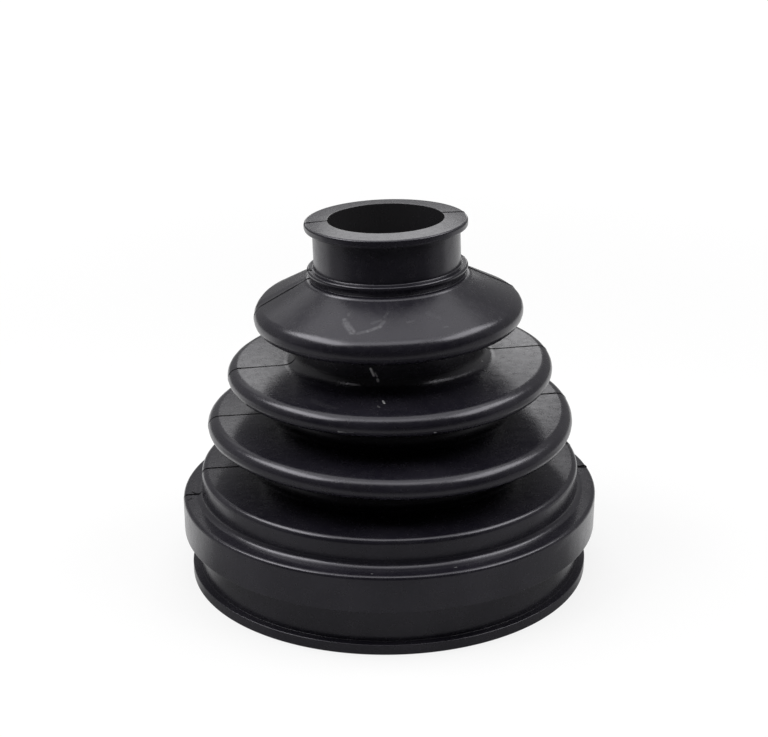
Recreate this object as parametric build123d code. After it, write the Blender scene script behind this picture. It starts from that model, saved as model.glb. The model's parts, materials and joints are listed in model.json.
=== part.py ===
from build123d import *
import os
from math import acos, atan2, ceil, cos, hypot, pi, radians, sin

# Rubber bellows boot: one hollow rubber moulding, open at both ends, turned about Z.
# Millimetres. Z = 0 is the foot of the large end, and the small end points up.
# The heights below are stacked: each one starts where the one before it stops.

# Large end: a foot flange, a clamp seat and a thick band around a plain bore. A wall is
# measured out from the bore, and a lip stands out from the seat.
large_bore_radius = 40.0
large_seat_wall = 3.0
large_seat_height = 8.1
foot_flange_lip = 1.7
foot_flange_height = 2.3
band_lip = 3.3
band_height = 8.5
band_chamfer = 0.7

# Shoulder: the drum that joins the band to the folds, around the same bore.
shoulder_wall = 2.0
shoulder_height = 6.1
shoulder_chamfer = 0.7

# Folds, counted from the small end. A rise is measured between the middles of two crests,
# and the lowest one starts at the shoulder's top. A root is the outside of the wall under a
# fold. A fold's round edge is run in flat bands that turn by 34 degrees at most.
fold_1_radius = 29.1
fold_1_tip_radius = 3.0
fold_1_rise = 13.5
fold_2_radius = 35.5
fold_2_tip_radius = 2.35
fold_2_rise = 11.7
fold_3_radius = 40.3
fold_3_tip_radius = 2.4
fold_3_rise = 9.7
root_1_radius = 20.4
root_2_radius = 24.0
root_3_radius = 28.0
fold_wall = 1.6
crest_turn = 34.0

# Small end: a cone's edge, a groove, a bead, a clamp seat and a top flange around a bore.
# These lips stand out from the small seat.
small_bore_radius = 12.5
small_bore_length = 12.2
small_seat_wall = 3.4
small_seat_height = 8.2
top_flange_lip = 1.65
top_flange_height = 1.8
bead_lip = 1.5
bead_height = 0.7
bead_slope_height = 0.2
groove_lip = 0.9
groove_height = 1.5
cone_lip = 2.0
cone_rise = 7.8

# Radii worked out from the bores, walls and lips.
large_seat_radius = large_bore_radius + large_seat_wall
foot_flange_radius = large_seat_radius + foot_flange_lip
band_radius = large_seat_radius + band_lip
shoulder_radius = large_bore_radius + shoulder_wall
small_seat_radius = small_bore_radius + small_seat_wall
top_flange_radius = small_seat_radius + top_flange_lip
bead_radius = small_seat_radius + bead_lip
groove_radius = small_seat_radius + groove_lip
cone_radius = small_seat_radius + cone_lip

# Heights above the foot, worked out from the stack.
large_seat_top = foot_flange_height + large_seat_height
band_top = large_seat_top + band_height
shoulder_top = band_top + shoulder_height
fold_3_height = shoulder_top + fold_3_rise
fold_2_height = fold_3_height + fold_2_rise
fold_1_height = fold_2_height + fold_1_rise
cone_top = fold_1_height + cone_rise
bead_top = cone_top + groove_height + bead_height
small_seat_foot = bead_top + bead_slope_height
top_flange_foot = small_seat_foot + small_seat_height
boot_height = top_flange_foot + top_flange_height


def crest(above, outer_radius, height, tip_radius):
    """Corners of a fold's round edge, whose flat bands touch the tip's circle.

    It turns from the cone or flank that comes from the corner above to the flat underside.
    """
    centre_radius = outer_radius - tip_radius
    across, down = centre_radius - above[0], height - above[1]
    flank_normal = atan2(down, across) + acos(-tip_radius / hypot(across, down))
    corner_count = ceil((flank_normal + pi / 2) / radians(crest_turn))
    turn = (flank_normal + pi / 2) / corner_count
    reach = tip_radius / cos(turn / 2)
    corners = []
    for index in range(corner_count):
        angle = flank_normal - (index + 0.5) * turn
        corners.append((centre_radius + reach * cos(angle), height + reach * sin(angle)))
    return corners


def fold(above, outer_radius, height, tip_radius, root_radius, root_foot):
    """The outside of one fold: its crest, its flat underside and the root wall below it."""
    return crest(above, outer_radius, height, tip_radius) + [
        (root_radius, height - tip_radius),
        (root_radius, root_foot),
    ]


def hollow(above_radius, outer_radius, height, tip_radius, root_radius):
    """The inside of one fold: a flat slot, one wall's thickness within it."""
    half_height = tip_radius - fold_wall
    return [
        (above_radius - fold_wall, height + half_height),
        (outer_radius - fold_wall, height + half_height),
        (outer_radius - fold_wall, height - half_height),
        (root_radius - fold_wall, height - half_height),
    ]


# Corners of the outside, from the top of the small bore down.
outside = [
    (small_bore_radius, boot_height),
    (top_flange_radius, boot_height),
    (top_flange_radius, top_flange_foot),
    (small_seat_radius, top_flange_foot),
    (small_seat_radius, small_seat_foot),
    (bead_radius, bead_top),
    (bead_radius, bead_top - bead_height),
    (groove_radius, cone_top),
    (cone_radius, cone_top),
]
outside += fold(outside[-1], fold_1_radius, fold_1_height, fold_1_tip_radius,
                root_1_radius, fold_2_height + fold_2_tip_radius)
outside += fold(outside[-1], fold_2_radius, fold_2_height, fold_2_tip_radius,
                root_2_radius, fold_3_height + fold_3_tip_radius)
outside += fold(outside[-1], fold_3_radius, fold_3_height, fold_3_tip_radius,
                root_3_radius, shoulder_top)
outside += [
    (shoulder_radius - shoulder_chamfer, shoulder_top),
    (shoulder_radius, shoulder_top - shoulder_chamfer),
    (shoulder_radius, band_top),
    (band_radius - band_chamfer, band_top),
    (band_radius, band_top - band_chamfer),
    (band_radius, large_seat_top),
    (large_seat_radius, large_seat_top),
    (large_seat_radius, foot_flange_height),
    (foot_flange_radius, foot_flange_height),
    (foot_flange_radius, 0),
]

# Corners of the inside, from the foot of the small bore down. The cone's inside meets the
# first hollow halfway up its end.
hollow_1_half_height = fold_1_tip_radius - fold_wall
inside = [
    (small_bore_radius, boot_height - small_bore_length),
    (fold_1_radius - fold_wall, fold_1_height + hollow_1_half_height / 2),
    (fold_1_radius - fold_wall, fold_1_height - hollow_1_half_height),
    (root_1_radius - fold_wall, fold_1_height - hollow_1_half_height),
]
inside += hollow(root_1_radius, fold_2_radius, fold_2_height, fold_2_tip_radius, root_2_radius)
inside += hollow(root_2_radius, fold_3_radius, fold_3_height, fold_3_tip_radius, root_3_radius)
inside += [
    (root_3_radius - fold_wall, shoulder_top - fold_wall),
    (large_bore_radius, shoulder_top - fold_wall),
    (large_bore_radius, 0),
]

section = make_face(Plane.XZ * Polyline(outside + inside[::-1], close=True))
boot = revolve(section, axis=Axis.Z)

os.makedirs("parts", exist_ok=True)
export_step(boot, "parts/bellows_boot.step")
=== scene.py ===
import json
from math import acos, atan2, ceil, cos, hypot, pi, radians, sin

import bpy
import numpy as np
from mathutils import Matrix, Vector, noise


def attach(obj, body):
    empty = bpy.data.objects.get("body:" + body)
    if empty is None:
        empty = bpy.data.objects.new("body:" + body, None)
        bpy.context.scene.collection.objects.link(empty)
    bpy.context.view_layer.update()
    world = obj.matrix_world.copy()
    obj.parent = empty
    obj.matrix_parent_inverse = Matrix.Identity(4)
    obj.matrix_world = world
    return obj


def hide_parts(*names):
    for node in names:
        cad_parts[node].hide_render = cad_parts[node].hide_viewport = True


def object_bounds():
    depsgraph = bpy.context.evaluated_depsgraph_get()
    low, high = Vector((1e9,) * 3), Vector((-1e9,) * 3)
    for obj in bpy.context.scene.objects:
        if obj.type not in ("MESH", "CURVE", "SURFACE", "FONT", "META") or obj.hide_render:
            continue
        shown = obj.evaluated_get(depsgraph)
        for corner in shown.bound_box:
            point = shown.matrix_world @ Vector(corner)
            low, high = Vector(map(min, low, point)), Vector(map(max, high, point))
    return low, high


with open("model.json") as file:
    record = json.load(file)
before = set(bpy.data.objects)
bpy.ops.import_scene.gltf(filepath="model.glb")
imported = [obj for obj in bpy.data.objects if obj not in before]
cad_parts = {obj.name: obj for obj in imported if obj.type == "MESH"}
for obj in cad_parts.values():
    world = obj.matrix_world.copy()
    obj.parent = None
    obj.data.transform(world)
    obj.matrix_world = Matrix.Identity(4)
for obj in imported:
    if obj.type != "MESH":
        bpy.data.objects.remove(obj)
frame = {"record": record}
cad_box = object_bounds()

# The rubber bellows boot as the photo shows it, in a plain studio with the photo's camera. The
# boot is a turned section with the lean of a soft boot, its parting lines and its marks. Its sizes
# are in millimetres, and those of the studio in metres.
MM = 0.001

# ---------------------------------------------------------------- sizes, in millimetres
# The boot stands on Z = 0 and the camera looks along +Y. Radii are from the boot's own axis.
mounts = {mount["name"]: mount for mount in frame["record"]["mounts"]}
small_bore_radius = mounts["small_bore"]["dims"]["r_mm"]
small_bore_length = mounts["small_bore"]["dims"]["length_mm"]
large_bore_radius = mounts["large_bore"]["dims"]["r_mm"]
band_radius = cad_box[1].x / MM
boot_height = cad_box[1].z / MM

top_flange_radius = small_bore_radius + 5.05
top_flange_foot = boot_height - 1.8
top_flange_fall = 0.25          # of its face, from the bore out to the rim
small_seat_radius = small_bore_radius + 3.4
bead_radius = small_bore_radius + 4.9
bead_top = 70.0
bead_foot = 69.2
groove_radius = 16.8
lip_round = 1.0
lip_radius = 17.2               # of the middle of the lip's round edge
lip_height = 66.8
lip_hollow_round = 0.8
lip_hollow_radius = 18.56       # of the middle of the hollow where the lip meets the cone
lip_hollow_height = 67.99

fold_1 = (29.3, 59.9, 3.0)      # radius, height of the crest's middle, radius of its round edge
fold_2 = (35.65, 46.4, 2.35)
fold_3 = (40.4, 34.7, 2.4)
root_1_radius = 20.4
root_2_radius = 24.0
root_3_radius = 28.0
root_round = 1.9                # under a fold
root_foot_round = 2.8           # above the next one
underside_fall = 0.3
fold_wall = 1.6

shoulder_radius = large_bore_radius + 2.05
shoulder_top = 24.85
band_top = 18.65
band_foot = 10.4
large_seat_radius = large_bore_radius + 3.0
foot_flange_radius = large_seat_radius + 1.7
foot_flange_top = 2.3

# Radii of the small roundings, from the top down.
bore_edge_round = 0.15
top_flange_top_round = 0.4
top_flange_foot_round = 0.35
small_seat_top_round = 0.5
small_seat_foot_round = 0.3
bead_top_round = 0.45
bead_foot_round = 0.15
groove_round = 0.1
shoulder_top_round = 1.2
shoulder_foot_round = 1.3
band_top_round = 0.75
band_foot_round = 0.4
large_seat_top_round = 0.2
large_seat_foot_round = 0.06
foot_flange_top_round = 0.2
foot_flange_foot_round = 0.25

# The same inside: at the mouths of both bores, at the corners of the hollows, and at the end of
# the first hollow, whose middle lies below the crest's.
mouth_round = 0.6
inner_round = 0.3
hollow_1_round = 1.2
hollow_1_drop = 0.2


# ---------------------------------------------------------------- section
# A section is a closed string of turns: (radius, height, bend). A bend above zero is an arc
# that bulges out of the rubber, one below zero is a hollow arc, both about (radius, height).
def rounded(radius, height, bend, across, up):
    """The turn that rounds a square corner. Across and up, 1 or -1, lead to its middle."""
    return (radius + across * abs(bend), height + up * abs(bend), bend)


def fold(radius, height, round_radius, root_radius, next_top):
    """The outside of one fold: its crest and the root below it."""
    underside = height - round_radius - underside_fall
    return [
        (radius - round_radius, height, round_radius),
        rounded(root_radius, underside, -root_round, 1, -1),
        rounded(root_radius, next_top, -root_foot_round, 1, 1),
    ]


def hollow(above_radius, radius, height, round_radius, root_radius):
    """The inside of one fold, from the foot up."""
    half_height = round_radius - fold_wall
    return [
        rounded(root_radius - fold_wall, height - half_height, inner_round, -1, -1),
        (radius - fold_wall - half_height, height, -half_height),
        rounded(above_radius - fold_wall, height + half_height, inner_round, -1, 1),
    ]


outside = [
    rounded(small_bore_radius, boot_height, bore_edge_round, 1, -1),
    rounded(top_flange_radius, boot_height - top_flange_fall, top_flange_top_round, -1, -1),
    rounded(top_flange_radius, top_flange_foot, top_flange_foot_round, -1, 1),
    rounded(small_seat_radius, top_flange_foot, -small_seat_top_round, 1, -1),
    rounded(small_seat_radius, bead_top, -small_seat_foot_round, 1, 1),
    rounded(bead_radius, bead_top, bead_top_round, -1, -1),
    rounded(bead_radius, bead_foot, bead_foot_round, -1, 1),
    rounded(groove_radius, lip_height + lip_round, -groove_round, 1, 1),
    (lip_radius, lip_height, lip_round),
    (lip_hollow_radius, lip_hollow_height, -lip_hollow_round),
]
outside += fold(*fold_1, root_1_radius, fold_2[1] + fold_2[2])
outside += fold(*fold_2, root_2_radius, fold_3[1] + fold_3[2])
outside += fold(*fold_3, root_3_radius, shoulder_top)
outside += [
    rounded(shoulder_radius, shoulder_top, shoulder_top_round, -1, -1),
    rounded(shoulder_radius, band_top, -shoulder_foot_round, 1, 1),
    rounded(band_radius, band_top, band_top_round, -1, -1),
    rounded(band_radius, band_foot, band_foot_round, -1, 1),
    rounded(large_seat_radius, band_foot, -large_seat_top_round, 1, -1),
    rounded(large_seat_radius, foot_flange_top, -large_seat_foot_round, 1, 1),
    rounded(foot_flange_radius, foot_flange_top, foot_flange_top_round, -1, -1),
    rounded(foot_flange_radius, 0, foot_flange_foot_round, -1, 1),
]
inside = [
    rounded(large_bore_radius, 0, mouth_round, 1, 1),
    rounded(large_bore_radius, shoulder_top - fold_wall, -inner_round, -1, -1),
    rounded(root_3_radius - fold_wall, shoulder_top - fold_wall, inner_round, 1, 1),
]
inside += hollow(root_2_radius, *fold_3, root_3_radius)
inside += hollow(root_1_radius, *fold_2, root_2_radius)
inside += [
    rounded(root_1_radius - fold_wall, fold_1[1] - fold_1[2] + fold_wall, inner_round, -1, -1),
    (fold_1[0] - fold_wall - hollow_1_round, fold_1[1] - hollow_1_drop, -hollow_1_round),
    rounded(small_bore_radius, boot_height - small_bore_length, mouth_round, 1, 1),
]


arc_step = radians(16)
straight_step = 4.0
turn_gap = 0.12                 # from a turn to the points beside it on a straight
short_straight = 0.5            # one up to this long has no such points


def outward_angle(start, end):
    """Direction of the outward normal of the straight from one turn to the next."""
    across, up = end[0] - start[0], end[1] - start[1]
    return atan2(up, across) + acos((start[2] - end[2]) / hypot(across, up))


def section_loop(turns):
    """Points (radius, height, normal angle) round the closed section."""
    angles = [outward_angle(turn, turns[(i + 1) % len(turns)]) for i, turn in enumerate(turns)]
    loop = []
    for i, (radius, height, bend) in enumerate(turns):
        before, after = angles[i - 1], angles[i]
        change = (after - before + pi) % (2 * pi) - pi
        steps = max(2, ceil(abs(change) / arc_step))
        for k in range(steps + 1):
            angle = before + change * k / steps
            loop.append((radius + bend * cos(angle), height + bend * sin(angle), angle))
        next_radius, next_height, next_bend = turns[(i + 1) % len(turns)]
        start = np.array(loop[-1][:2])
        end = np.array((next_radius + next_bend * cos(after), next_height + next_bend * sin(after)))
        length = hypot(*(end - start))
        beside_turns = length > short_straight
        inner = [turn_gap / length] if beside_turns else []
        inner += [k * straight_step / length for k in range(1, int(length / straight_step))]
        inner += [1 - turn_gap / length] if beside_turns else []
        loop += [(*(start + (end - start) * share), after) for share in inner]
    return np.array(loop)


loop = section_loop(outside + inside)

# ---------------------------------------------------------------- lean
# The soft boot doesn't stand quite true. At each height its ring is shifted to the right, tipped
# up to the right and down to the front (degrees), warped like a saddle with its back right and
# front left up (by so much at saddle_radius), and lifted.
lean_heights = (0.0, 20.0, 24.5, 34.7, 46.4, 59.9, 67.3, 80.0)
lean_shift = (0.0, 0.34, 0.42, 0.63, 0.69, 0.55, 0.48, 0.18)
lean_right_up = (0.0, 0.27, 0.3, 0.17, 0.77, 1.6, 1.5, 1.21)
lean_front_down = (0.0, 0.0, 0.0, 0.97, 0.94, 0.0, 0.0, 0.0)
lean_saddle = (0.0, 0.17, 0.18, 0.66, 0.32, 0.0, 0.0, 0.0)
lean_lift = (0.0, 0.0, 0.0, 0.23, 0.16, -0.38, 0.0, 0.2)
saddle_radius = 40.0

# Behind the left parting line the cone stands a little higher than in front of it. Angles are in
# degrees from the boot's right side round by the back.
swell_angle = 152.0
swell_width = 26.0
swell_heights = (56.5, 60.5, 65.0, 67.5)
swell_lift = (0.0, 0.75, 0.75, 0.2)


def leant(points):
    """The points (x, y, z) after the boot's lean."""
    x, y, z = points.T
    right_up = np.tan(np.radians(np.interp(z, lean_heights, lean_right_up)))
    front_down = np.tan(np.radians(np.interp(z, lean_heights, lean_front_down)))
    saddle = np.interp(z, lean_heights, lean_saddle) / saddle_radius**2
    off_swell = np.degrees(np.arctan2(y, x)) - swell_angle
    swell = np.interp(z, swell_heights, swell_lift, 0, 0) * np.exp(-(off_swell / swell_width) ** 2)
    raised = right_up * x + front_down * y + saddle * 2 * x * y + swell
    return np.stack([
        x + np.interp(z, lean_heights, lean_shift),
        y,
        z + raised + np.interp(z, lean_heights, lean_lift),
    ], axis=1)


# ---------------------------------------------------------------- boot mesh
# The two halves of the mould met along a line on each side, whose angle wanders a little with
# height. They left a low, broken ridge of rubber there, the flash, with painted shade along it.
parting_heights = (0.0, 20.0, 36.0, 48.0, 56.0, 60.0, 80.0)
right_parting = (10.0, 9.0, 8.0, 7.5, 10.0, 14.0, 13.5)
left_parting = (187.0, 187.0, 187.5, 189.0, 187.0, 185.0, 184.5)
flash_heights = (0.0, 10.0, 18.5, 25.0, 33.0, 60.0, 69.5, 70.3, 78.2, 78.6, 80.1)
flash_rise = (0.0, 0.1, 0.2, 0.15, 0.12, 0.15, 0.15, 0.0, 0.0, 0.15, 0.15)
flash_mean = 0.8                # the share of the rise that is there on average,
flash_raggedness = 0.9          # and how much noise adds to it or takes away
flash_noise_scale = 0.8         # per mm
flash_on_walls = 0.4            # of the rise on faces that look up
flash_offsets = (-0.65, -0.33, 0.0, 0.33, 0.65)     # columns beside a line, in degrees
flash_shade_shares = (0.0, 1.0, 1.0, 1.0, 0.0)             # how much painted shade these get
full_shade_rise = 0.1           # a lower ridge gets less painted shade
column_count = 240


def column_angles():
    """Even angles round the boot, with close ones at 0 and 180 degrees for the parting lines."""
    step = 360 / column_count
    even = [step * k for k in range(column_count) if step < (step * k) % 180 < 180 - step]
    lines = [line + offset for line in (0, 180) for offset in (-step, *flash_offsets, step)]
    return sorted(angle % 360 for angle in even + lines)


def boot_mesh():
    """The section turned round the axis, with the parting lines' flash and the lean.

    The mesh's attribute of painted shade says how much of a point the painted shade along a parting
    line covers.
    """
    angles = column_angles()
    radius, height, normal = loop.T
    right = np.interp(height, parting_heights, right_parting)
    left = np.interp(height, parting_heights, left_parting) - 180
    upward = np.maximum(np.sin(normal), 0)
    flash_share = flash_on_walls + (1 - flash_on_walls) * upward
    flash = np.interp(height, flash_heights, flash_rise) * flash_share
    noise_places = loop[:, :2] * flash_noise_scale
    points, grime = [], []
    for angle in angles:
        share = (1 + cos(radians(angle))) / 2
        turned = np.radians(angle + share * right + (1 - share) * left)
        rise = np.zeros(len(loop))
        if angle % 180 == 0:
            ragged = np.array([noise.noise(Vector((*place, angle))) for place in noise_places])
            rise = flash * (flash_mean + flash_raggedness * ragged)
        # Painted shade along the flash, on faces that look up.
        beside_line = (angle + 90) % 180 - 90
        painted_shade_share = np.interp(beside_line, flash_offsets, flash_shade_shares)
        grime.append(painted_shade_share * upward * np.minimum(flash / full_shade_rise, 1))
        r = radius + rise * np.cos(normal)
        z = height + rise * np.sin(normal)
        points.append(np.stack([r * np.cos(turned), r * np.sin(turned), z], axis=1))
    points = leant(np.concatenate(points)) * MM
    rows = len(loop)
    faces = []
    for i in range(len(angles)):
        j = (i + 1) % len(angles)
        for k in range(rows):
            m = (k + 1) % rows
            faces.append((i * rows + k, i * rows + m, j * rows + m, j * rows + k))
    mesh = bpy.data.meshes.new("bellows_boot_rubber")
    mesh.from_pydata([tuple(p) for p in points], [], faces)
    mesh.attributes.new("grime", "FLOAT", "POINT").data.foreach_set("value", np.concatenate(grime))
    mesh.validate()
    mesh.update()
    mesh.shade_smooth()
    return mesh


boot = bpy.data.objects.new("bellows_boot_rubber", boot_mesh())
bpy.context.scene.collection.objects.link(boot)
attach(boot, "root")
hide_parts("bellows_boot")


# ---------------------------------------------------------------- materials
def new_material(name):
    material = bpy.data.materials.new(name)
    material.use_nodes = True
    nodes = material.node_tree.nodes
    nodes.clear()
    return material, nodes, material.node_tree.links


def fade(nodes, links, value, start, end, first, last):
    """A smooth change from first to last while the value goes from start to end."""
    ramp = nodes.new("ShaderNodeMapRange")
    ramp.interpolation_type = "SMOOTHSTEP"
    ramp.inputs["From Min"].default_value = start
    ramp.inputs["From Max"].default_value = end
    ramp.inputs["To Min"].default_value = first
    ramp.inputs["To Max"].default_value = last
    links.new(value, ramp.inputs["Value"])
    return ramp.outputs[0]


def math_node(nodes, links, operation, first, second):
    """The operation on two outputs, or on an output and a number."""
    node = nodes.new("ShaderNodeMath")
    node.operation = operation
    for socket, value in zip(node.inputs, (first, second)):
        if isinstance(value, float):
            socket.default_value = value
        else:
            links.new(value, socket)
    return node.outputs[0]


def cloud(nodes, links, place, scale, detail, low, high):
    """Soft noise that runs from 0 to 1 between the low and high levels. Scale is per mm."""
    noise_node = nodes.new("ShaderNodeTexNoise")
    noise_node.inputs["Scale"].default_value = scale
    noise_node.inputs["Detail"].default_value = detail
    links.new(place, noise_node.inputs["Vector"])
    return fade(nodes, links, noise_node.outputs[0], low, high, 0.0, 1.0)


def mix_colour(nodes, links, share, first, second):
    """A mix of two colours by the share. Each is an output or three numbers."""
    node = nodes.new("ShaderNodeMix")
    node.data_type = "RGBA"
    links.new(share, node.inputs[0])
    for socket, colour in zip((node.inputs[6], node.inputs[7]), (first, second)):
        if isinstance(colour, tuple):
            socket.default_value = (*colour, 1)
        else:
            links.new(colour, socket)
    return node.outputs[2]


stroke_core = 0.3               # the share of a stroke's half width that is covered in full


def stroke_group():
    """A node group: 1 on the straight from Start along Run, 0 from half a width away."""
    group = bpy.data.node_groups.new("stroke", "ShaderNodeTree")
    for name in ("Place", "Start", "Run"):
        group.interface.new_socket(name, in_out="INPUT", socket_type="NodeSocketVector")
    group.interface.new_socket("Half width", in_out="INPUT", socket_type="NodeSocketFloat")
    group.interface.new_socket("Share", in_out="OUTPUT", socket_type="NodeSocketFloat")
    nodes, links = group.nodes, group.links
    given, result = nodes.new("NodeGroupInput"), nodes.new("NodeGroupOutput")

    def vector(operation, first, second):
        node = nodes.new("ShaderNodeVectorMath")
        node.operation = operation
        links.new(first, node.inputs[0])
        links.new(second, node.inputs["Scale" if operation == "SCALE" else 1])
        return node

    place, start, run = (given.outputs[name] for name in ("Place", "Start", "Run"))
    from_start = vector("SUBTRACT", place, start).outputs["Vector"]
    along = vector("DOT_PRODUCT", from_start, run).outputs["Value"]
    length_squared = vector("DOT_PRODUCT", run, run).outputs["Value"]
    share = nodes.new("ShaderNodeMath")
    share.operation, share.use_clamp = "DIVIDE", True
    links.new(along, share.inputs[0])
    links.new(length_squared, share.inputs[1])
    nearest = vector("SCALE", run, share.outputs[0]).outputs["Vector"]
    gap = vector("DISTANCE", from_start, nearest).outputs["Value"]
    ratio = math_node(nodes, links, "DIVIDE", gap, given.outputs["Half width"])
    links.new(fade(nodes, links, ratio, stroke_core, 1.0, 1.0, 0.0), result.inputs[0])
    return group


def on_boot(angle, radius, height):
    """A point of the standing boot, in mm, from its place on the true one (angle in degrees)."""
    a = radians(angle)
    return leant(np.array([[radius * cos(a), radius * sin(a), height]]))[0]


# Marks on the rubber, whose ends were read off the photo and carried over to the boot: both ends
# (angle in degrees from the right side round by the back, radius, height), half the width in mm,
# and how much the mark covers.
chalk_and_sheen_marks = (
    ((246.9, 23.0, 64.9), (249.8, 24.4, 64.1), 0.65, 0.26),
    ((248.4, 23.8, 64.4), (253.6, 25.9, 63.3), 0.95, 0.34),
    ((247.8, 21.4, 65.7), (248.3, 21.9, 65.5), 0.5, 0.12),
    ((256.0, 26.1, 63.2), (261.4, 25.4, 63.7), 0.55, 0.18),
    ((260.4, 25.5, 63.6), (266.0, 24.4, 64.2), 0.6, 0.3),
    ((265.6, 24.4, 64.2), (267.6, 23.2, 64.8), 0.6, 0.18),
    ((261.8, 23.6, 64.6), (266.2, 22.8, 65.0), 0.5, 0.1),
    ((268.0, 22.0, 65.4), (269.6, 21.0, 65.9), 0.5, 0.08),
    ((279.4, 23.7, 64.6), (283.0, 23.5, 64.6), 0.45, 0.08),
    ((291.4, 22.1, 65.4), (295.8, 23.6, 64.6), 0.8, 0.05),
    ((295.6, 26.0, 63.3), (297.4, 26.1, 63.3), 0.4, 0.1),
    # These two are a painted sheen on the second fold's flank, where the root shines in it.
    ((237.2, 29.4, 48.8), (249.0, 31.4, 48.8), 0.8, 0.04),
    ((238.0, 30.3, 48.8), (247.0, 32.0, 48.8), 0.5, 0.05),
    # A painted reflection on the right of the third fold's flank.
    ((356.5, 33.0, 37.1), (359.5, 33.9, 37.1), 1.5, 0.1),
    # These three make the band lighter on its right side.
    ((340.0, 46.3, 16.0), (334.0, 46.3, 14.0), 1.4, 0.07),
    ((328.0, 46.3, 17.8), (319.0, 46.3, 16.4), 1.0, 0.06),
    ((338.0, 46.3, 13.0), (336.0, 46.3, 11.4), 1.1, 0.06),
)
pale_flecks = (
    ((205.8, 35.4, 45.7), (210.8, 35.4, 45.4), 0.5, 0.5),
    ((252.6, 35.3, 45.4), (257.8, 35.3, 45.6), 0.22, 0.8),
    ((284.4, 35.2, 45.2), (284.9, 35.2, 45.2), 0.25, 0.4),
    ((258.9, 20.4, 53.7), (260.6, 20.4, 52.2), 0.36, 0.95),
    ((262.8, 20.4, 51.3), (263.1, 20.4, 51.0), 0.42, 0.85),
    ((261.4, 20.4, 52.7), (262.6, 20.4, 52.0), 0.35, 0.35),
    ((266.7, 25.9, 48.8), (267.5, 27.4, 48.8), 0.32, 0.6),
    ((265.0, 28.8, 48.8), (265.6, 29.4, 48.8), 0.4, 0.1),
    ((341.0, 21.1, 49.8), (341.4, 21.1, 49.8), 0.35, 0.7),
    ((287.2, 44.1, 18.6), (287.6, 44.1, 18.6), 0.2, 0.35),
    ((265.1, 44.9, 18.6), (265.4, 44.9, 18.6), 0.2, 0.25),
)
# Painted shade: dark spots where notches and the flash along the parting lines lie in shadow.
painted_shade_marks = (
    ((187.6, 42.9, 18.7), (185.2, 44.4, 18.7), 0.4, 0.8),
    ((189.5, 44.6, 18.7), (190.5, 45.4, 18.7), 0.5, 0.6),
    ((9.0, 43.2, 18.7), (8.0, 45.6, 18.5), 0.7, 0.8),
    ((190.0, 16.6, 70.1), (187.0, 17.2, 69.7), 0.55, 0.95),
    ((186.0, 17.5, 69.2), (185.5, 18.0, 67.5), 0.3, 0.9),
    ((186.0, 20.6, 66.2), (186.0, 21.0, 66.0), 0.35, 0.9),
    ((14.0, 24.3, 64.2), (14.0, 25.3, 63.7), 0.3, 0.9),
    ((13.9, 26.2, 63.2), (13.9, 27.4, 62.5), 0.35, 0.9),
    ((184.5, 13.0, 80.1), (184.5, 17.0, 80.0), 0.22, 0.6),
    ((184.5, 16.3, 80.1), (184.5, 16.5, 80.1), 0.45, 0.9),
    ((13.5, 13.0, 80.1), (13.5, 16.2, 80.1), 0.26, 0.85),
)


def marks(nodes, links, group, place, strokes):
    """The share of the rubber that the strokes cover."""
    covered = None
    for start, end, half_width, cover in strokes:
        first, last = on_boot(*start), on_boot(*end)
        node = nodes.new("ShaderNodeGroup")
        node.node_tree = group
        node.inputs["Start"].default_value = first
        node.inputs["Run"].default_value = last - first
        node.inputs["Half width"].default_value = half_width
        links.new(place, node.inputs["Place"])
        share = math_node(nodes, links, "MULTIPLY", node.outputs[0], cover)
        covered = share if covered is None else math_node(nodes, links, "MAXIMUM", covered, share)
    return covered


def bump(nodes, links, height, depth, below=None):
    """A bump of the given depth in mm, laid over the one below."""
    node = nodes.new("ShaderNodeBump")
    node.inputs["Distance"].default_value = depth * MM
    node.inputs["Strength"].default_value = bump_strength
    links.new(height, node.inputs["Height"])
    if below is not None:
        links.new(below, node.inputs["Normal"])
    return node.outputs[0]


# Clouds in the rubber: scale per mm, detail, and the levels of noise where each starts and is full.
bloom_cloud = (0.09, 3.0, 0.38, 0.68)
mottle_cloud = (0.7, 4.0, 0.3, 0.7)
chalk_and_sheen_smears = (1.1, 3.0, 0.1, 0.6)
grain_cloud = (5.0, 2.0, 0.2, 0.8)
ripple_cloud = (0.28, 2.0, 0.2, 0.8)

clean_black = (0.0085, 0.0076, 0.0125)
bloomed_black = (0.0148, 0.0135, 0.0195)
mottle_grey = (0.022, 0.021, 0.024)
mottle_cover = 0.2
# Painted light: a lighter grey inside the small bore, standing in for light that falls in there.
bore_painted_light_grey = (0.03, 0.029, 0.03)
bore_painted_light_cover = 0.8                # in the small bore
bore_painted_light_edge = 0.6                 # mm outside the bore's wall, where it ends
# Chalk on the cone, painted sheen on two fold flanks, and a lighter patch on the band's right side.
chalk_and_sheen_grey = (0.24, 0.24, 0.25)
fleck_white = (0.62, 0.62, 0.62)
# Painted shade: the near black of the dark marks and of the flash along the parting lines.
painted_shade_black = (0.002, 0.002, 0.002)
painted_shade_cover = 0.92

least_roughness = 0.235
most_roughness = 0.275
chalk_and_sheen_roughness = 1.2           # times how much the chalk and painted sheen cover
specular_level = 0.5
specular_tint = (0.95, 0.93, 1.0, 1)
rubber_ior = 1.6
ripple_depth = 0.035            # mm
grain_depth = 0.0012
bump_strength = 0.5


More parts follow.
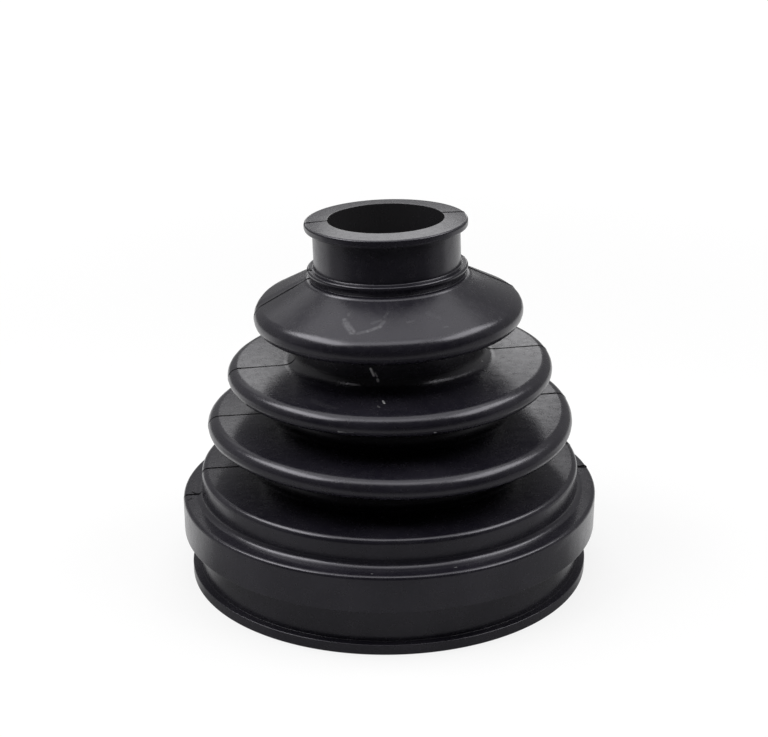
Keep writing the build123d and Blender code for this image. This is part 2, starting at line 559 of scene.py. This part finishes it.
def rubber_material():
    """Satin black rubber: cloudy bloom, mottled shine, fine moulded grain, chalk and pale flecks,
    with painted sheen, painted light in the small bore and painted shade along the parting lines.
    """
    material, nodes, links = new_material("satin_black_rubber")
    output = nodes.new("ShaderNodeOutputMaterial")
    shader = nodes.new("ShaderNodeBsdfPrincipled")
    to_mm = nodes.new("ShaderNodeVectorMath")
    to_mm.operation = "SCALE"
    to_mm.inputs["Scale"].default_value = 1 / MM
    links.new(nodes.new("ShaderNodeTexCoord").outputs["Object"], to_mm.inputs[0])
    place = to_mm.outputs[0]
    bloom = cloud(nodes, links, place, *bloom_cloud)
    mottle = cloud(nodes, links, place, *mottle_cloud)
    smears = cloud(nodes, links, place, *chalk_and_sheen_smears)
    grain = cloud(nodes, links, place, *grain_cloud)
    ripple = cloud(nodes, links, place, *ripple_cloud)
    group = stroke_group()
    # Chalk, painted sheen and the lighter band side, all from the strokes.
    drawn = marks(nodes, links, group, place, chalk_and_sheen_marks)
    chalk_and_sheen = math_node(nodes, links, "MULTIPLY", drawn, smears)
    flecks = marks(nodes, links, group, place, pale_flecks)
    line = nodes.new("ShaderNodeAttribute")
    line.attribute_name = "grime"
    # Painted shade from the dark marks and from the flash along the parting lines.
    painted_dark = math_node(nodes, links, "MAXIMUM", marks(nodes, links, group, place, painted_shade_marks),
                     math_node(nodes, links, "MULTIPLY", line.outputs["Fac"], painted_shade_cover))

    bloomed = mix_colour(nodes, links, bloom, clean_black, bloomed_black)
    speckles = math_node(nodes, links, "MULTIPLY", mottle, mottle_cover)
    speckled = mix_colour(nodes, links, speckles, bloomed, mottle_grey)
    # Painted light inside the small bore.
    level, from_axis = nodes.new("ShaderNodeVectorMath"), nodes.new("ShaderNodeVectorMath")
    level.operation, from_axis.operation = "MULTIPLY", "LENGTH"
    level.inputs[1].default_value = (1, 1, 0)
    links.new(place, level.inputs[0])
    links.new(level.outputs[0], from_axis.inputs[0])
    within_bore = fade(nodes, links, from_axis.outputs["Value"],
                       small_bore_radius, small_bore_radius + bore_painted_light_edge, bore_painted_light_cover, 0.0)
    bore_lightened = mix_colour(nodes, links, within_bore, speckled, bore_painted_light_grey)
    chalked_and_sheened = mix_colour(nodes, links, chalk_and_sheen, bore_lightened, chalk_and_sheen_grey)
    flecked = mix_colour(nodes, links, flecks, chalked_and_sheened, fleck_white)
    links.new(mix_colour(nodes, links, painted_dark, flecked, painted_shade_black), shader.inputs["Base Color"])

    shine = fade(nodes, links, mottle, 0.0, 1.0, least_roughness, most_roughness)
    chalk_and_sheen_dullness = math_node(nodes, links, "MULTIPLY", chalk_and_sheen, chalk_and_sheen_roughness)
    dulled = math_node(nodes, links, "MAXIMUM", shine, chalk_and_sheen_dullness)
    dusted = math_node(nodes, links, "MAXIMUM", dulled, flecks)
    links.new(math_node(nodes, links, "MAXIMUM", dusted, painted_dark), shader.inputs["Roughness"])
    # Where shade is painted, the rubber also loses its shine.
    painted_shade_dullness = math_node(nodes, links, "MULTIPLY", painted_dark, specular_level)
    links.new(math_node(nodes, links, "SUBTRACT", specular_level, painted_shade_dullness),
              shader.inputs["Specular IOR Level"])
    shader.inputs["Specular Tint"].default_value = specular_tint
    shader.inputs["IOR"].default_value = rubber_ior
    waves = bump(nodes, links, ripple, ripple_depth)
    links.new(bump(nodes, links, grain, grain_depth, waves), shader.inputs["Normal"])
    links.new(shader.outputs["BSDF"], output.inputs["Surface"])
    return material


boot.data.materials.append(rubber_material())


# ---------------------------------------------------------------- floor and world
# The floor and the world are white to look at and dimmer in the boot's reflections. In those
# reflections the floor's white carries painted light and shade: it is darker ahead of the boot, has
# a painted shadow close round the boot and a painted pool of light at its foot behind, and dims far
# away. Each of these shares of white changes smoothly between two places, in metres: both places,
# then both shares.
floor_ahead = (-0.14, -0.062, 0.04, 0.36)       # by Y
floor_beside = (0.0, 0.08, 0.0, 0.56)           # by Y, added to the one ahead
floor_near = (0.045, 0.08, 0.7, 1.0)            # by the distance from the boot's axis: a painted shadow round the boot
floor_far_away = (0.28, 0.55, 1.0, 0.2)
floor_behind = (-0.03, 0.005, 0.0, 1.0)         # by Y, for the painted pool of light at the boot's foot
floor_close = (0.07, 0.11, 1.0, 0.0)            # by distance, where that area ends

floor_shadow = 0.22             # the share of the floor's look that comes from the lamps' light
floor_shadow_reach = (0.15, 0.7)                # by distance, where its own white goes up to full
floor_colour = 0.7              # of the floor that throws light back onto the boot
floor_half = 3.0

world_slope = (-0.75, 0.25)     # by the Y of a direction, from the front to the back
world_front = 0.03
world_back = 0.28
world_light = 0.3               # the share of these that lights the boot


def seen_directly(nodes, links):
    """Two outputs: 1 for camera, glossy and transmission rays, and 1 for camera rays alone."""
    path = nodes.new("ShaderNodeLightPath")
    camera_ray = path.outputs["Is Camera Ray"]
    seen = math_node(nodes, links, "MAXIMUM", camera_ray, path.outputs["Is Glossy Ray"])
    seen = math_node(nodes, links, "MAXIMUM", seen, path.outputs["Is Transmission Ray"])
    return seen, camera_ray


def floor_material():
    """A pale floor that takes shadows: white to look at, and dimmer in the boot's reflections."""
    material, nodes, links = new_material("pale_floor")
    output = nodes.new("ShaderNodeOutputMaterial")
    lit, shadowed = nodes.new("ShaderNodeBsdfDiffuse"), nodes.new("ShaderNodeBsdfDiffuse")
    lit.inputs["Color"].default_value = (floor_colour, floor_colour, floor_colour, 1)
    white = nodes.new("ShaderNodeEmission")
    seen, camera_ray = seen_directly(nodes, links)
    position = nodes.new("ShaderNodeNewGeometry").outputs["Position"]
    split, distance = nodes.new("ShaderNodeSeparateXYZ"), nodes.new("ShaderNodeVectorMath")
    distance.operation = "LENGTH"
    links.new(position, split.inputs[0])
    links.new(position, distance.inputs[0])
    y, reach = split.outputs["Y"], distance.outputs["Value"]
    ahead = fade(nodes, links, y, *floor_ahead)
    beside = fade(nodes, links, y, *floor_beside)
    around_boot = math_node(nodes, links, "ADD", ahead, beside)
    near = fade(nodes, links, reach, *floor_near)
    reflected = math_node(nodes, links, "MULTIPLY", around_boot, near)
    behind = fade(nodes, links, y, *floor_behind)
    close = fade(nodes, links, reach, *floor_close)
    at_foot = math_node(nodes, links, "MULTIPLY", behind, close)
    far_away = fade(nodes, links, reach, *floor_far_away)
    mirrored = math_node(nodes, links, "MAXIMUM", at_foot,
                         math_node(nodes, links, "MULTIPLY", reflected, far_away))
    to_look_at = nodes.new("ShaderNodeMix")
    to_look_at.inputs["B"].default_value = 1.0
    links.new(camera_ray, to_look_at.inputs["Factor"])
    links.new(mirrored, to_look_at.inputs["A"])
    share = to_look_at.outputs["Result"]
    links.new(share, white.inputs["Color"])
    unshadowed = fade(nodes, links, reach, *floor_shadow_reach, 1.0 - floor_shadow, 1.0)
    links.new(unshadowed, white.inputs["Strength"])
    shade = nodes.new("ShaderNodeVectorMath")
    shade.operation = "SCALE"
    shade.inputs[0].default_value = (floor_shadow, floor_shadow, floor_shadow)
    links.new(share, shade.inputs["Scale"])
    links.new(shade.outputs[0], shadowed.inputs["Color"])
    both, mix = nodes.new("ShaderNodeAddShader"), nodes.new("ShaderNodeMixShader")
    links.new(shadowed.outputs[0], both.inputs[0])
    links.new(white.outputs[0], both.inputs[1])
    links.new(seen, mix.inputs[0])
    links.new(lit.outputs[0], mix.inputs[1])
    links.new(both.outputs[0], mix.inputs[2])
    links.new(mix.outputs[0], output.inputs["Surface"])
    return material


floor_data = bpy.data.meshes.new("floor")
floor_data.from_pydata(
    [(-floor_half, -floor_half, 0), (floor_half, -floor_half, 0),
     (floor_half, floor_half, 0), (-floor_half, floor_half, 0)], [], [(0, 1, 2, 3)])
floor = bpy.data.objects.new("floor", floor_data)
floor.data.materials.append(floor_material())
bpy.context.scene.collection.objects.link(floor)


def studio_world():
    """A dark room that pales to the back and lights things only faintly. It looks white."""
    world = bpy.data.worlds.new("studio")
    world.use_nodes = True
    nodes, links = world.node_tree.nodes, world.node_tree.links
    nodes.clear()
    output = nodes.new("ShaderNodeOutputWorld")
    white, faint = nodes.new("ShaderNodeBackground"), nodes.new("ShaderNodeBackground")
    faint.inputs["Strength"].default_value = world_light
    split = nodes.new("ShaderNodeSeparateXYZ")
    links.new(nodes.new("ShaderNodeTexCoord").outputs["Generated"], split.inputs[0])
    glow = fade(nodes, links, split.outputs["Y"], *world_slope, world_front, world_back)
    seen, camera_ray = seen_directly(nodes, links)
    links.new(math_node(nodes, links, "MAXIMUM", glow, camera_ray), white.inputs["Color"])
    links.new(glow, faint.inputs["Color"])
    mix = nodes.new("ShaderNodeMixShader")
    links.new(seen, mix.inputs[0])
    links.new(faint.outputs[0], mix.inputs[1])
    links.new(white.outputs[0], mix.inputs[2])
    links.new(mix.outputs[0], output.inputs[0])
    return world


bpy.context.scene.world = studio_world()


# ---------------------------------------------------------------- lamps
def softbox(name, place, target, size, radiance):
    """A rectangular area lamp, in metres, that faces the target and that the camera doesn't see."""
    data = bpy.data.lights.new(name, "AREA")
    data.shape = "RECTANGLE"
    data.size, data.size_y = size
    data.energy = radiance * pi * size[0] * size[1]
    lamp = bpy.data.objects.new(name, data)
    lamp.location = place
    lamp.rotation_euler = (place - target).to_track_quat("Z", "Y").to_euler()
    lamp.visible_camera = False
    bpy.context.scene.collection.objects.link(lamp)


def around(azimuth, elevation, distance):
    """A place seen from the boot's middle. Azimuth 0 is the camera's side, 90 the right."""
    a, e = radians(azimuth), radians(elevation)
    return middle + distance * Vector((sin(a) * cos(e), -cos(a) * cos(e), sin(e)))


def panel_behind(name, x, height, target_height, size, radiance):
    """A small softbox behind the boot, turned to the target height straight ahead of it."""
    place, target = Vector((x, panel_distance, height)), Vector((x, 0, target_height))
    softbox(name, place, target, size, radiance)


middle = Vector((0, 0, 0.045))
softbox("left_softbox", around(-81, 50, 0.6), middle, (0.54, 0.22), 5.5)
softbox("right_softbox", around(84, 48, 0.6), middle, (0.52, 0.22), 4.4)
softbox("front_softbox", around(0, 66, 0.6), middle, (0.5, 0.22), 2.2)
softbox("top_softbox", around(180, 80, 0.6), middle, (0.7, 0.6), 1.0)

# These are there mainly for their reflections: one in the top flange, a fill on the cone's left
# side, and two in the flanks of the folds.
panel_distance = 0.13
side_panel_size = (0.027, 0.022)
panel_behind("back_panel", 0, 0.166, 0.161, (0.052, 0.1), 1.45)
panel_behind("left_fill", -0.085, 0.16, 0.12, (0.09, 0.06), 0.45)
panel_behind("left_panel", -0.0445, 0.104, 0.1, side_panel_size, 1.95)
panel_behind("right_panel", 0.0435, 0.098, 0.094, side_panel_size, 2.3)

# ---------------------------------------------------------------- camera
# Fitted to the photo: mm from the boot's axis and above the floor, degrees, and pixels.
camera_distance = 328.2
camera_height = 166.4
camera_yaw = -0.10
camera_pitch = 20.14
camera_roll = -0.68
focal_pixels = 1583.0
image_width = 768

camera_data = bpy.data.cameras.new("camera")
camera_data.sensor_width = 36.0
camera_data.lens = focal_pixels * camera_data.sensor_width / image_width
camera_data.clip_start, camera_data.clip_end = 0.01, 20
camera = bpy.data.objects.new("camera", camera_data)
yaw, pitch, roll = radians(camera_yaw), radians(camera_pitch), radians(camera_roll)
forward = Vector((sin(yaw) * cos(pitch), cos(yaw) * cos(pitch), -sin(pitch)))
level_right = Vector((cos(yaw), -sin(yaw), 0))
level_up = level_right.cross(forward)
right = cos(roll) * level_right + sin(roll) * level_up
up = -sin(roll) * level_right + cos(roll) * level_up
camera.matrix_world = Matrix((
    (right.x, up.x, -forward.x, 0),
    (right.y, up.y, -forward.y, -camera_distance * MM),
    (right.z, up.z, -forward.z, camera_height * MM),
    (0, 0, 0, 1),
))
bpy.context.scene.collection.objects.link(camera)
bpy.context.scene.camera = camera
bpy.context.scene.view_settings.view_transform = "Standard"
